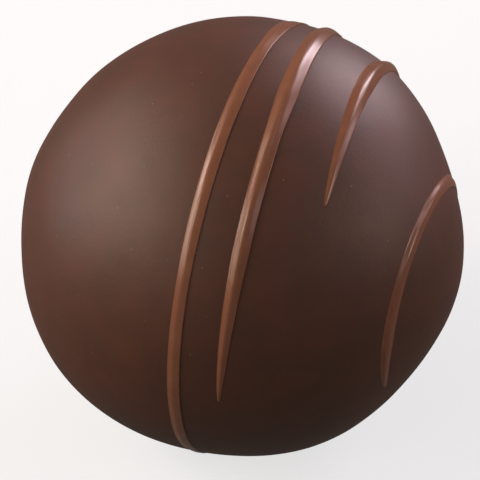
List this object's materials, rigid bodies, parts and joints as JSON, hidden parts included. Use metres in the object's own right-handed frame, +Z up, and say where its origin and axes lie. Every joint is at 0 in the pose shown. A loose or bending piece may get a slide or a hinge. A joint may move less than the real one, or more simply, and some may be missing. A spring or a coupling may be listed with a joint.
{
  "type": "chocolate bonbon",
  "caption": "Round hand-rolled bonbon coated in dark chocolate, with thin strings of milk chocolate drizzled across its top.",
  "frame": {"origin": "the middle of the flat foot on which the bonbon rests", "axes": "+Z up, -Y to the front where the strings end in points, +X to the right of someone who looks at the front"},
  "size_m": [0.03, 0.0304, 0.0296],
  "materials": {
    "dark_chocolate": "satin tempered dark chocolate coating",
    "milk_chocolate": "satin milk chocolate drizzle"
  },
  "bodies": {
    "root": {"bonbon": "dark_chocolate"}
  },
  "joints": []
}
